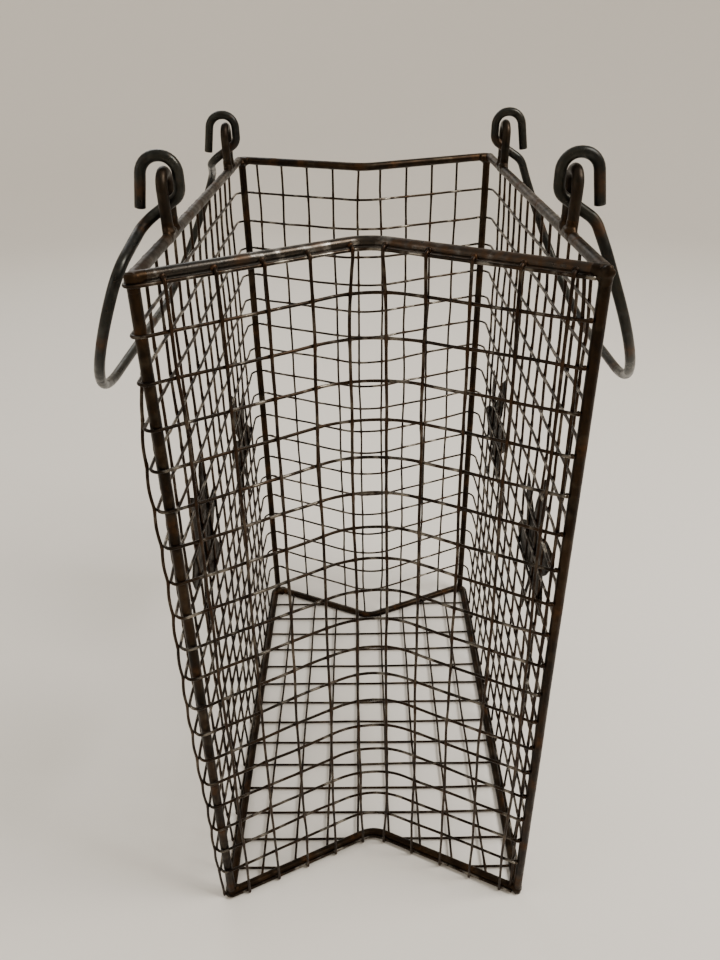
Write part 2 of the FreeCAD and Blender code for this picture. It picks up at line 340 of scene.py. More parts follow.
def iron(name, black, brown, bright, rust, metallic, rough, shine, specular, grain=1.0):
    """Old iron: black skin, brown patches, bare bright wear, and rust where the mesh is rusty. On the
    rows the bright wear is also painted sheen.
    """
    material = bpy.data.materials.new(name)
    material.use_nodes = True
    nodes = material.node_tree.nodes
    links = material.node_tree.links
    shader = nodes["Principled BSDF"]
    place = nodes.new("ShaderNodeTexCoord").outputs["Object"]

    def grains(scale, detail, seed):
        mapping = nodes.new("ShaderNodeMapping")
        mapping.inputs["Location"].default_value = (seed, seed * 0.7, seed * 1.3)
        links.new(place, mapping.inputs["Vector"])
        texture = nodes.new("ShaderNodeTexNoise")
        texture.inputs["Scale"].default_value = scale
        texture.inputs["Detail"].default_value = detail
        links.new(mapping.outputs["Vector"], texture.inputs["Vector"])
        return texture.outputs["Fac"]

    def spread(value, low, high, to_low=0.0, to_high=1.0):
        node = nodes.new("ShaderNodeMapRange")
        node.inputs["From Min"].default_value = low
        node.inputs["From Max"].default_value = high
        node.inputs["To Min"].default_value = to_low
        node.inputs["To Max"].default_value = to_high
        links.new(value, node.inputs["Value"])
        return node.outputs["Result"]

    def mix(share, first, second):
        node = nodes.new("ShaderNodeMix")
        node.data_type = "RGBA"
        links.new(share, node.inputs["Factor"])
        for value, socket in ((first, node.inputs[6]), (second, node.inputs[7])):
            if isinstance(value, tuple):
                socket.default_value = (*value, 1.0)
            else:
                links.new(value, socket)
        return node.outputs[2]

    def maths(operation, first, second):
        node = nodes.new("ShaderNodeMath")
        node.operation = operation
        node.use_clamp = True
        for value, socket in ((first, node.inputs[0]), (second, node.inputs[1])):
            if isinstance(value, float):
                socket.default_value = value
            else:
                links.new(value, socket)
        return node.outputs[0]

    patches = spread(grains(scale=38.0, detail=6.0, seed=0.3), 0.42, 0.62)
    speckle = spread(grains(scale=420.0, detail=5.0, seed=1.7), 0.50, 0.68)
    pits = grains(scale=900.0, detail=4.0, seed=4.1)
    attribute = nodes.new("ShaderNodeAttribute")
    attribute.attribute_name = "rust"
    free_of_rust = maths("SUBTRACT", 1.0, attribute.outputs["Fac"])
    worn = spread(grains(scale=95.0, detail=7.0, seed=2.9), 0.52, 0.70)
    # where bare bright metal shows: wear, and on the rows painted sheen too
    wear_and_sheen = maths("MULTIPLY", worn, free_of_rust)
    rusty_noise = spread(grains(scale=260.0, detail=6.0, seed=5.3), 0.30, 0.62)
    rusty = maths("MULTIPLY", attribute.outputs["Fac"], rusty_noise)
    rusty = maths("MAXIMUM", rusty, maths("MULTIPLY", speckle, SPECKS))
    colour = mix(patches, black, brown)
    colour = mix(maths("MULTIPLY", wear_and_sheen, shine), colour, bright)
    colour = mix(rusty, colour, rust)
    links.new(colour, shader.inputs["Base Color"])
    dull = grains(scale=180.0, detail=6.0, seed=6.7)
    dull = spread(dull, 0.3, 0.7, to_low=rough - 0.10, to_high=rough + 0.14)
    dull = maths("ADD", dull, maths("MULTIPLY", rusty, RUST_DULLS))
    dull = maths("SUBTRACT", dull, maths("MULTIPLY", wear_and_sheen, shine * WEAR_SHINES))
    links.new(dull, shader.inputs["Roughness"])
    shader.inputs["Metallic"].default_value = metallic
    shader.inputs["Specular IOR Level"].default_value = specular
    pitted = maths("MULTIPLY", pits, PIT_HEIGHT)
    height = maths("ADD", pitted, maths("MULTIPLY", rusty, RUST_HEIGHT))
    bump = nodes.new("ShaderNodeBump")
    bump.inputs["Strength"].default_value = BUMP * grain
    bump.inputs["Distance"].default_value = BUMP_DEPTH
    links.new(height, bump.inputs["Height"])
    links.new(bump.outputs["Normal"], shader.inputs["Normal"])
    return material


FRAME_IRON = iron(
    "frame_iron",
    black=(0.006, 0.004, 0.0022),
    brown=(0.020, 0.011, 0.0048),
    bright=(0.070, 0.055, 0.036),
    rust=(0.062, 0.028, 0.010),
    metallic=0.85, rough=0.40, shine=0.36, specular=0.22,
)
RIM_IRON = iron(
    "rim_iron",
    black=(0.026, 0.024, 0.021),
    brown=(0.038, 0.029, 0.021),
    bright=(0.36, 0.34, 0.31),
    rust=(0.055, 0.028, 0.013),
    metallic=0.90, rough=0.27, shine=0.80, specular=0.35,
)
WIRE_IRON = iron(
    "wire_iron",
    black=(0.007, 0.0045, 0.003),
    brown=(0.022, 0.012, 0.006),
    bright=(0.17, 0.145, 0.11),
    rust=(0.075, 0.034, 0.013),
    metallic=0.85, rough=0.33, shine=0.50, specular=0.30,
)
# The uprights' wire iron with lighter bright wear that shows more: worn metal, and painted sheen on
# the rows.
SHEENED_ROW_IRON = iron(
    "sheened_row_iron",
    black=(0.010, 0.008, 0.006),
    brown=(0.024, 0.015, 0.009),
    bright=(0.34, 0.31, 0.26),
    rust=(0.070, 0.034, 0.014),
    metallic=0.90, rough=0.30, shine=0.75, specular=0.30,
)
BAIL_IRON = iron(
    "bail_iron",
    black=(0.008, 0.009, 0.008),
    brown=(0.015, 0.015, 0.011),
    bright=(0.075, 0.080, 0.072),
    rust=(0.070, 0.032, 0.012),
    metallic=0.70, rough=0.33, shine=0.30, specular=0.40,
    grain=0.6,
)
EYE_IRON = iron(
    "eye_iron",
    black=(0.006, 0.005, 0.0035),
    brown=(0.014, 0.010, 0.006),
    bright=(0.070, 0.062, 0.046),
    rust=(0.055, 0.026, 0.010),
    metallic=0.80, rough=0.38, shine=0.35, specular=0.30,
)
LEAF_IRON = iron(
    "leaf_iron",
    black=(0.006, 0.0045, 0.003),
    brown=(0.014, 0.010, 0.006),
    bright=(0.055, 0.047, 0.034),
    rust=(0.036, 0.019, 0.008),
    metallic=0.80, rough=0.52, shine=0.35, specular=0.15,
)


# ---- walls
def calm(z):
    """0 at the rim and the bottom rods, and 1 well away from both."""
    return ease(min(z - BOTTOM_Z, RIM_Z - z) / CALM)


def front_fold(z):
    share = (z - BOTTOM_Z) / (RIM_Z - BOTTOM_Z)
    return FOLD + (RIM_FRONT_FOLD - FOLD) * share


def on_fold(x, fold, radius):
    """How deep a folded wall lies at x, and how far it is turned there. The fold is an arc."""
    slope = math.atan2(fold, HALF_WIDTH)
    arc_end = radius * math.sin(slope)
    if abs(x) >= arc_end:
        return fold - abs(x) * math.tan(slope), math.copysign(slope, x)
    turn = math.asin(x / radius)
    return fold - radius / math.cos(slope) + radius * math.cos(turn), turn


def mesh_fold_radius(z):
    return ROD_FOLD_RADIUS + (MESH_FOLD_RADIUS - ROD_FOLD_RADIUS) * calm(z)


WALL_WAVES = ((1.3, 60.0, 1), (0.5, 26.0, 2))


def wall_sway(point, z):
    """How far the mesh stands out from its true place, the same for both layers of wire."""
    return calm(z) * waves(point, WALL_WAVES)


def front_point(x, z, out):
    depth, turn = on_fold(x, front_fold(z), mesh_fold_radius(z))
    outside = vec(-math.sin(turn), -math.cos(turn), 0)
    base = vec(x, FRONT_Y + depth, z)
    return base + outside * (out + wall_sway(base, z)), outside


def back_point(x, z, out):
    depth, turn = on_fold(x, FOLD, mesh_fold_radius(z))
    outside = vec(-math.sin(turn), math.cos(turn), 0)
    base = vec(x, BACK_Y - depth, z)
    return base + outside * (out + wall_sway(base, z)), outside


BELLY = 1.6
BULGE_Y = 14.0  # where the left wall bulges most, behind the front post
BULGE_WIDTH = 24.0
BULGE_START = 12.0  # below the rim
BULGE_GROWTH = 120.0
BULGE_FADE = 30.0  # above the bottom rods


def side_bulge(side, y, z):
    """The side walls belly out. The left one also stands off its front post, below the rim."""
    belly = BELLY * calm(z)
    if side > 0:
        return belly
    grow = ease((RIM_Z - z - BULGE_START) / BULGE_GROWTH) * ease((z - BOTTOM_Z) / BULGE_FADE)
    off_post = LEFT_BULGE * (0.55 + 0.45 * (z - BOTTOM_Z) / (RIM_Z - BOTTOM_Z))
    return belly + off_post * grow * math.exp(-(((y - FRONT_Y - BULGE_Y) / BULGE_WIDTH) ** 2))


SEAM_OUT = 1.0  # how far the row ends stand out at the front right post
SEAM_START = 4.0  # behind that post, where the right wall starts to come out to its full place
SEAM_LENGTH = 26.0


def side_point(side, y, z, out):
    base = vec(side * HALF_WIDTH, y, z)
    stand = out + side_bulge(side, y, z) + wall_sway(base, z)
    if side > 0:
        seam = ease((y - FRONT_Y - SEAM_START) / SEAM_LENGTH)
        stand = seam * stand + (1 - seam) * SEAM_OUT
    return base + vec(side, 0, 0) * stand, vec(side, 0, 0)


def around(centre, start, end, start_out, end_out, z):
    """Points round a corner, from one direction and distance to another, without the first."""
    first = math.atan2(start[1], start[0])
    turn = (math.atan2(end[1], end[0]) - first + math.pi) % (2 * math.pi) - math.pi
    found = []
    for k in range(1, CORNER_STEPS + 1):
        share = k / CORNER_STEPS
        angle = first + turn * share
        out = start_out + (end_out - start_out) * ease(share)
        found.append(vec(centre[0] + out * math.cos(angle), centre[1] + out * math.sin(angle), z))
    return found


RISE_GROWTH = 24.0  # below the rim
RISE_FADE = 20.0  # above the bottom rods


def front_rise(x, z):
    """How much higher a front row lies at x than it would if it were level."""
    below = ease((RIM_Z - z - 1.0) / RISE_GROWTH) * ease((z - BOTTOM_Z) / RISE_FADE)
    return FRONT_RISE * below * (x / HALF_WIDTH + 1) / 2


ROW_WAVES = ((1.0, 75.0, 0), (0.45, 24.0, 40))
ROW_START = 3.0  # the rows start this far left of the front right post's middle
ROW_END = 3.5  # and end this far behind it
FRONT_STEPS = 76
SIDE_STEPS = 100
CORNER_STEPS = 8


def row_path(z, seed):
    """One row of the mesh, from the front right post by front, left and back to the right wall."""
    path = []
    for x in np.linspace(HALF_WIDTH - ROW_START, -HALF_WIDTH, FRONT_STEPS):
        path.append(front_point(x, z, ROW_OUT)[0] + UP * front_rise(x, z))
    front_out = np.linalg.norm(path[-1] - vec(-HALF_WIDTH, FRONT_Y, z))
    outside = front_point(-HALF_WIDTH, z, 0)[1]
    corner = side_point(-1, FRONT_Y, z, ROW_OUT)[0]
    path += around((-HALF_WIDTH, FRONT_Y), outside, (-1, 0), front_out, -HALF_WIDTH - corner[0], z)
    bend_x = HALF_WIDTH - RIM_BEND
    bend_y = BACK_Y - RIM_BEND * math.tan(math.pi / 4 + BACK_SLOPE / 2)
    left = np.linspace(FRONT_Y, bend_y, SIDE_STEPS)[1:]
    path += [side_point(-1, y, z, ROW_OUT)[0] for y in left]
    side_out = -bend_x - path[-1][0]
    tangent_x = bend_x + RIM_BEND * math.sin(BACK_SLOPE)
    first_back, outside = back_point(-tangent_x, z, ROW_OUT)
    back_out = np.linalg.norm(first_back - vec(-bend_x, bend_y, z))
    path += around((-bend_x, bend_y), (-1, 0), outside, side_out, back_out, z)
    back = np.linspace(-tangent_x, tangent_x, FRONT_STEPS)[1:]
    path += [back_point(x, z, ROW_OUT)[0] for x in back]
    last_back, outside = back_point(tangent_x, z, ROW_OUT)
    back_out = np.linalg.norm(last_back - vec(bend_x, bend_y, z))
    start = side_point(1, bend_y, z, ROW_OUT)[0]
    path += around((bend_x, bend_y), outside, (1, 0), back_out, start[0] - bend_x, z)
    right = np.linspace(bend_y, FRONT_Y + ROW_END, SIDE_STEPS - 2)[1:]
    path += [side_point(1, y, z, ROW_OUT)[0] for y in right]
    path = np.array(path)
    for point in path:
        point[2] += calm(z) * waves(point, ROW_WAVES, seed)
    return path


UPRIGHT_STEPS = 110
TOP_RUN = 7.0  # an upright runs straight this far below the rim, and its wall part starts at TOP_GAP
TOP_GAP = 13.0
FOOT_RUN = 5.0  # and the same above the bottom rods
FOOT_GAP = 10.0


def upright_path(wall_point, low, high):
    """A mesh wire with ends turned in to its rods. low and high: a rod's middle and its outside."""
    high_middle, high_out = high
    low_middle, low_out = low
    turn = 2 * WIRE_R + 0.1
    top = UP * (turn - FIRST_ROW_DROP)
    over = rounded(
        [
            high_middle + high_out * (ROD_R - SINK) + top,
            high_middle + high_out * UPRIGHT_OUT + top,
            high_middle + high_out * UPRIGHT_OUT - UP * TOP_RUN,
        ],
        [turn],
        1.0,
    )
    under = rounded(
        [
            low_middle + low_out * UPRIGHT_OUT + UP * FOOT_RUN,
            low_middle + low_out * UPRIGHT_OUT - UP * turn,
            low_middle + low_out * (ROD_R - SINK) - UP * turn,
        ],
        [turn],
        1.0,
    )
    heights = np.linspace(RIM_Z - TOP_GAP, BOTTOM_Z + FOOT_GAP, UPRIGHT_STEPS)
    return np.vstack([over, [wall_point(z) for z in heights], under])


def row_heights():
    heights = [RIM_Z - FIRST_ROW_DROP - ROW_SPACING * k for k in range(ROWS)]
    return [*heights, BOTTOM_Z]


def front_and_back_uprights():
    """X, wall, folds at the bottom and the rim, Y of the wall's ends, and which way is inwards."""
    front = []
    for k in range(-5, 5):
        folds = (front_fold(BOTTOM_Z), front_fold(RIM_Z))
        front.append(((k + 0.5) * FRONT_SPACING, front_point, folds, FRONT_Y, 1))
    back = []
    for k in range(-4, 5):
        x = k * PITCH * math.cos(BACK_SLOPE) + BACK_SHIFT
        back.append((x, back_point, (FOLD, FOLD), BACK_Y, -1))
    return {"front": front, "back": back}


LONG_SCALE = 90.0  # of the uprights' slow wander
FRONT_WANDER = 1.5
SIDE_WANDER = 1.6
FINE_SCALE = 30.0  # of their quick one
FINE_WANDER = 0.5


def upright_lines():
    """For each wall, its uprights as (path, end on the rim, outwards there)."""
    walls = {}
    for name, places in front_and_back_uprights().items():
        walls[name] = []
        for number, (x, wall, folds, end_y, inwards) in enumerate(places):
            ends = []
            for fold, z in zip(folds, (BOTTOM_Z, RIM_Z)):
                depth, turn = on_fold(x, fold, ROD_FOLD_RADIUS)
                outside = vec(-math.sin(turn), -inwards * math.cos(turn), 0)
                ends.append((vec(x, end_y + inwards * depth, z), outside))
            seed = 100 + number + (50 if name == "back" else 0)

            def on_wall(z, x=x, wall=wall, seed=seed, end_y=end_y):
                sway = FRONT_WANDER * wander((x, end_y, z), LONG_SCALE, seed)
                sway += FINE_WANDER * wander((x, 0, z), FINE_SCALE, seed)
                return wall(x + calm(z) * sway, z, UPRIGHT_OUT)[0]

            walls[name].append((upright_path(on_wall, *ends), *ends[1]))
    for name, side in (("left", -1), ("right", 1)):
        walls[name] = []
        for number, k in enumerate(SIDE_UPRIGHTS):
            y = k * PITCH + SIDE_SHIFT
            outside = vec(side, 0, 0)
            ends = [(vec(side * HALF_WIDTH, y, z), outside) for z in (BOTTOM_Z, RIM_Z)]
            seed = 200 + number + (50 if side > 0 else 0)

            def on_wall(z, y=y, side=side, seed=seed):
                sway = SIDE_WANDER * wander((side, y, z), LONG_SCALE, seed)
                sway += FINE_WANDER * wander((side, y, z), FINE_SCALE, seed)
                return side_point(side, y + calm(z) * sway, z, UPRIGHT_OUT)[0]

            walls[name].append((upright_path(on_wall, *ends), *ends[1]))
    return walls


KNOT = (1.5, 0.20, 0.35)  # reach, extra radius and extra rust where wires are welded
KNOT_GAP = 4.0  # the middles of wires that cross lie nearer to each other than this


def crossing_knots(path, others):
    """Small swellings on a wire where the others are welded across it."""
    knots = []
    for other in others:
        gaps = np.linalg.norm(path[:, None] - other[None], axis=2).min(axis=1)
        nearest = gaps.argmin()
        if gaps[nearest] < KNOT_GAP:
            knots.append((path[nearest], *KNOT))
    return knots


def build_mesh():
    rows = [row_path(z, 50 + k) for k, z in enumerate(row_heights())]
    walls = upright_lines()
    uprights = [path for lines in walls.values() for path, _, _ in lines]
    pile = Pile()
    for k, path in enumerate(rows):
        wire(pile, path, k, crossing_knots(path, uprights), rust=0.1)
    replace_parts(pile.piece("mesh_rows_looks", SHEENED_ROW_IRON, slot="mesh_wire"), "mesh_rows")
    for name, lines in walls.items():
        pile = Pile()
        for number, (path, end, outside) in enumerate(lines):
            seed = 100 + number
            wire(pile, path, seed, crossing_knots(path, rows))
            spot = end + outside * (ROD_R + 0.1) - UP * 0.7
            width = 1.8 + 0.4 * wander(spot, 5.0, 8)
            rust = 0.7 if number % 3 == 1 else 0.2
            bead(pile, spot, (width, width, 1.25), outside, 0.15, seed, rust)
        made = pile.piece(f"mesh_uprights_{name}_looks", WIRE_IRON, slot="mesh_wire")
        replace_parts(made, "mesh_uprights_" + name)
    build_selvedge(rows[1:-1])
    build_corner_wire(rows)


SELVEDGE_STEPS = 140
SELVEDGE_GAP = 0.6  # between this wire and the post
SELVEDGE_OUT = 1.6
LEAN = 4.0  # how much further from the post it lies at the rim
LEAN_LENGTH = 30.0
SELVEDGE_WANDER = 1.3


def build_selvedge(rows):
    """The front's last wire, beside the front right post. The rows' ends are welded to both."""
    pile = Pile()
    beside = ROD_R + WIRE_R + SELVEDGE_GAP

    def on_wall(z):
        away = LEAN * math.exp((z - RIM_Z) / LEAN_LENGTH)
        away += SELVEDGE_WANDER * calm(z) * (0.5 + 0.5 * wander((0, 0, z), 80.0, 9))
        return front_point(HALF_WIDTH - beside - away, z, SELVEDGE_OUT)[0]

    path = np.array([on_wall(z) for z in np.linspace(RIM_Z - ROD_R, BOTTOM_Z, SELVEDGE_STEPS)])
    wire(pile, path, 7, crossing_knots(path, rows), rust=0.2)
    for k, row in enumerate(rows):
        bead(pile, row[0] + vec(0.8, 1.0, 0), (1.6, 1.8, 1.4), seed=k, rust=0.2)
        bead(pile, row[-1], (1.4, 1.7, 1.3), seed=k + 30, rust=0.4)
    pile.piece("mesh_selvedge_wire", WIRE_IRON, slot="mesh_wire")


CORNER_REACH = 26.0  # the rows' bends round the front left post lie within this
CORNER_BOW = 0.9
RIM_TURN = 75.0  # degrees from straight left towards the back, where the corner wire meets the rim
TURN_FORWARDS = 97.0  # how many degrees nearer to the front it lies further down
TURN_START = 25.0  # below the rim
TURN_LENGTH = 130.0
CORNER_WIRE_STEPS = 260


def corner_way(z):
    """Which way the corner wire lies from its post: behind it at the rim, beside it lower down."""
    share = ease((RIM_Z - z - TURN_START) / TURN_LENGTH)
    turn = math.radians(RIM_TURN - TURN_FORWARDS * share)
    return vec(-math.cos(turn), math.sin(turn), 0)


def build_corner_wire(rows):
    """The upright at the front left post. It lies outside the rows and bows out between them."""
    post = vec(-HALF_WIDTH, FRONT_Y, 0)
    heights = []
    reaches = []
    for row in rows[::-1]:
        away = (row - post) * (1, 1, 0)
        lengths = np.linalg.norm(away, axis=1)
        facing = away @ corner_way(row[0][2]) / lengths
        facing[lengths >= CORNER_REACH] = -1.0
        best = facing.argmax()
        heights.append(row[best][2])
        reaches.append(lengths[best])
    path = []
    for z in np.linspace(RIM_Z - 1.0, BOTTOM_Z - 1.0, CORNER_WIRE_STEPS):
        bow = abs(math.sin(math.pi * (RIM_Z - FIRST_ROW_DROP - z) / ROW_SPACING))
        reach = np.interp(z, heights, reaches) + 2 * WIRE_R - SINK
        path.append(post + corner_way(z) * (reach + CORNER_BOW * bow * calm(z)) + UP * z)
    path = np.array(path)
    pile = Pile()
    wire(pile, path, 61, crossing_knots(path, rows), rust=0.15)
    pile.piece("mesh_corner_wire", WIRE_IRON, slot="mesh_wire")


BOTTOM_WAVE = (0.9, 60.0)  # size and scale of the bottom wires' wander
BOTTOM_KNOT = (1.7, 0.2, 0.35)
LONG_STEPS = 110


def build_bottom():
    """The flat bottom sheet: cross wires, with long wires welded on top of them. It sags a bit."""
    cross_z = BOTTOM_Z - BOTTOM_SINK
    long_z = cross_z + 2 * WIRE_R - SINK
    cross = Pile()
    longs = Pile()

    def sag(x, y):
        along = max(0.0, 1 - (x / HALF_WIDTH) ** 2) * max(0.0, 1 - (y / BACK_Y) ** 2)
        return -1.0 * along + 0.3 * along * wander((x, y, 0), 45.0, 3)

    for k in SIDE_UPRIGHTS:
        y = k * PITCH + SIDE_SHIFT
        depth = max(FRONT_Y + FOLD - y, y - BACK_Y + FOLD)
        reach = HALF_WIDTH - ROD_R + BOTTOM_SINK
        spans = [(-reach, reach)]
        if depth > 0:
            inner = depth * HALF_WIDTH / FOLD + (ROD_R - BOTTOM_SINK) / math.sin(BACK_SLOPE)
            spans = [(-reach, -inner), (inner, reach)]
        for start, end in spans:
            path = []
            for x in np.linspace(start, end, max(4, round((end - start) / 3))):
                sway = waves((x, y, 5), [(*BOTTOM_WAVE, k + 20)])
                path.append(vec(x, y + sway, cross_z + sag(x, y)))
            wire(cross, path, k)
    for k in range(-4, 4):
        x = (k + 0.5) * PITCH
        depth = on_fold(x, FOLD, ROD_FOLD_RADIUS)[0]
        margin = depth + ROD_R - BOTTOM_SINK
        path = []
        knots = []
        for y in np.linspace(FRONT_Y + margin, BACK_Y - margin, LONG_STEPS):
            sway = waves((x, y, 9), [(*BOTTOM_WAVE, k + 60)])
            path.append(vec(x + sway, y, long_z + sag(x, y)))
        for step in SIDE_UPRIGHTS:
            y = step * PITCH + SIDE_SHIFT
            knots.append((vec(x, y, long_z + sag(x, y)), *BOTTOM_KNOT))
        wire(longs, path, k, knots)
    for pile, name in ((cross, "bottom_cross_wires"), (longs, "bottom_long_wires")):
        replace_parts(pile.piece(name + "_looks", WIRE_IRON, slot="mesh_wire"), name)


# ---- rods
ROD_SIDES = 20
ROD_ROUGH = 0.06
ROD_SCALE = 16.0
BAIL_SCALE = 18.0
STAIN = 0.8


def rod_piece(name, path, material, knots, seed, ends=(0.25, 0.25)):
    pile = Pile()
    tube(pile, path, ROD_R, ROD_SIDES, ROD_ROUGH, ROD_SCALE, seed, ends, knots, rust=0.08)
    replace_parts(pile.piece(name + "_looks", material, slot="frame_iron"), name)


def scattered_rust(path, count, seed):
    """A few rusty places along a rod, for tube."""
    stains = []
    for k in range(count):
        place = path[(k * 41 + 17 * seed + 5) % len(path)]
        stains.append((place, 4.0 + 5.0 * abs(wander(place, 20.0, seed)), 0.0, STAIN))
    return stains


def folded_rod(end_x, end_y, fold_y, z):
    ends = vec(-end_x, end_y, z), vec(end_x, end_y, z)
    return rounded([ends[0], vec(0, fold_y, z), ends[1]], [ROD_FOLD_RADIUS])


POST_STEPS = 180
POST_SWAY = 0.35
POST_SCALE = 120.0
SHADED_BROWN_FROM = 14.0  # right of this the front rim is browned: rust, and painted shade that keeps bright wear off that half
# reach, extra radius and rust of each spot of rust and painted shade on the rim's right half
SHADED_BROWN_SPOT = (11.0, 0.0, 0.85)


def build_frame():
    rim_front = folded_rod(HALF_WIDTH, FRONT_Y, FRONT_Y + RIM_FRONT_FOLD, RIM_Z)
    # rusty spots all along the rim's right half: real rust, and painted shade there
    browned_and_shaded = [(place, *SHADED_BROWN_SPOT) for place in rim_front[::6] if place[0] > SHADED_BROWN_FROM]
    rod_piece("rim_front_rod", rim_front, RIM_IRON, browned_and_shaded + scattered_rust(rim_front, 4, 1), 1)
    joint_y = BACK_Y - 2 * RIM_BEND
    rim_back = rounded(
        [
            vec(-HALF_WIDTH, joint_y, RIM_Z),
            vec(-HALF_WIDTH, BACK_Y, RIM_Z),
            vec(0, BACK_Y - FOLD, RIM_Z),
            vec(HALF_WIDTH, BACK_Y, RIM_Z),
            vec(HALF_WIDTH, joint_y, RIM_Z),
        ],
        [RIM_BEND, ROD_FOLD_RADIUS, RIM_BEND],
        2.0,
    )
    rod_piece("rim_back_rod", rim_back, FRAME_IRON, scattered_rust(rim_back, 5, 2), 2, (0.0, 0.0))
    for name, side in (("left", -1), ("right", 1)):
        x = side * HALF_WIDTH
        path = rounded([vec(x, FRONT_Y - ROD_R + 0.8, RIM_Z), vec(x, joint_y, RIM_Z)], [])
        stains = scattered_rust(path, 5, 4 + side)
        rod_piece(f"rim_{name}_rod", path, FRAME_IRON, stains, 3 + side, (0.3, 0.0))
        path = rounded([vec(x, FRONT_Y + 1.0, BOTTOM_Z), vec(x, BACK_POST_Y - 1.0, BOTTOM_Z)], [])
        stains = scattered_rust(path, 4, 7 + side)
        rod_piece(f"bottom_{name}_rail", path, FRAME_IRON, stains, 6 + side)
    path = folded_rod(HALF_WIDTH - 0.5, FRONT_Y, FRONT_Y + FOLD, BOTTOM_Z)
    rod_piece("bottom_front_rod", path, FRAME_IRON, scattered_rust(path, 4, 8), 8)
    path = folded_rod(BACK_POST_X, BACK_ROD_Y, BACK_Y - FOLD, BOTTOM_Z)
    rod_piece("bottom_back_rod", path, FRAME_IRON, scattered_rust(path, 4, 9), 9)
    for number, (name, (x, y)) in enumerate(POSTS.items()):
        path = []
        for z in np.linspace(BOTTOM_Z - ROD_R + 0.3, RIM_Z, POST_STEPS):
            sway = POST_SWAY * calm(z)
            sway_x = sway * wander((x, y, z), POST_SCALE, 31)
            sway_y = sway * wander((x, y, z), POST_SCALE, 32)
            path.append(vec(x + sway_x, y + sway_y, z))
        stains = scattered_rust(path, 6, number)
        rod_piece("post_" + name, path, FRAME_IRON, stains, 10 + number)


# ---- welds
WELD_VOXEL = 0.55
WELD_RELAX = 5
WELD_SIDES = 16
WELD_SCALE = 4.0
WELD_LUMPS = 0.3
CORNER_STUB = 7.0
CORNER_SKIN = 0.15  # how much thicker a corner's weld metal is than its rods
CORNER_BEADS = [  # reach along the fold, along the side and along the post, and half sizes
    (0.0, 0.0, 1.0, (4.0, 4.0, 3.9)),
    (3.0, 0.0, 1.8, (3.5, 3.3, 3.0)),
    (0.0, 3.0, 1.4, (3.4, 3.5, 3.0)),
]
FRONT_RIM_BEAD = (0.0, -1.9, 0.0, (3.6, 2.4, 3.4))
CORNER_ROUGH = 0.3


def weld_stub(pile, start, end, radius, rough, seed):
    """A short length of rod for a weld to grow from."""
    path = rounded([start, end], [], 1.0)
    tube(pile, path, radius, WELD_SIDES, rough, WELD_SCALE, seed)


def weld_piece(pile, name):
    """Fuses a pile of stubs and beads into one smooth lump of weld metal, with some rust on it."""
    raw = placed(name + "_raw", pile.mesh(name + "_raw"))
    remesh = raw.modifiers.new("fuse", "REMESH")
    remesh.mode = "VOXEL"
    remesh.voxel_size = WELD_VOXEL * MM
    relax = raw.modifiers.new("relax", "SMOOTH")
    relax.factor = 0.5
    relax.iterations = WELD_RELAX
    graph = bpy.context.evaluated_depsgraph_get()
    fused = bpy.data.meshes.new_from_object(raw.evaluated_get(graph))
    bpy.data.objects.remove(raw)
    fused.name = name
    rust = [0.02 + 0.20 * (0.5 + 0.5 * wander(v.co / MM, 3.5, 11)) for v in fused.vertices]
    finished(fused, name, rust, FRAME_IRON)


def build_corner_welds():
    for name, (x, y) in POSTS.items():
        side = math.copysign(1, x)
        front = y < 0
        for end, z in (("rim", RIM_Z), ("bottom", BOTTOM_Z)):
            rim = end == "rim"
            seed = 300 + len(name) + (7 if rim else 0) + int(side * 3)
            centre = vec(x, y, z)
            rail = vec(side * HALF_WIDTH, y, z)
            along_post = UP * (-1 if rim else 1)
            along_side = vec(0, 1 if front else -1, 0)
            corner_y = FRONT_Y if front else BACK_Y
            fold_y = BACK_Y - FOLD
            if front:
                fold_y = FRONT_Y + (RIM_FRONT_FOLD if rim else FOLD)
            along_fold = unit(vec(0, fold_y, z) - vec(side * HALF_WIDTH, corner_y, z))
            pile = Pile()
            for start, stop in (
                (centre + along_post * CORNER_STUB, centre),
                (centre, centre + along_fold * CORNER_STUB),
                (rail, rail + along_side * CORNER_STUB),
            ):
                weld_stub(pile, start, stop, ROD_R + CORNER_SKIN, CORNER_ROUGH, seed)
            beads = CORNER_BEADS + ([FRONT_RIM_BEAD] if front and rim else [])
            for number, (fold_reach, side_reach, post_reach, size) in enumerate(beads):
                spot = centre + along_fold * fold_reach + along_side * side_reach
                spot = spot + along_post * post_reach
                bead(pile, spot, size, lumps=WELD_LUMPS, seed=seed + number)
            weld_piece(pile, f"weld_{end}_{name}")


# ---- eyes and bails
EYE_STUB = 12.0
EYE_SKIN = 0.25
EYE_WELD_ROUGH = 0.25
EYE_WELD_TOP = 9.0  # above the side rim's middle
LEG_BEAD = (3.8, 4.4, 3.0)
FOOT_BEAD = (3.4, 4.6, 2.6)


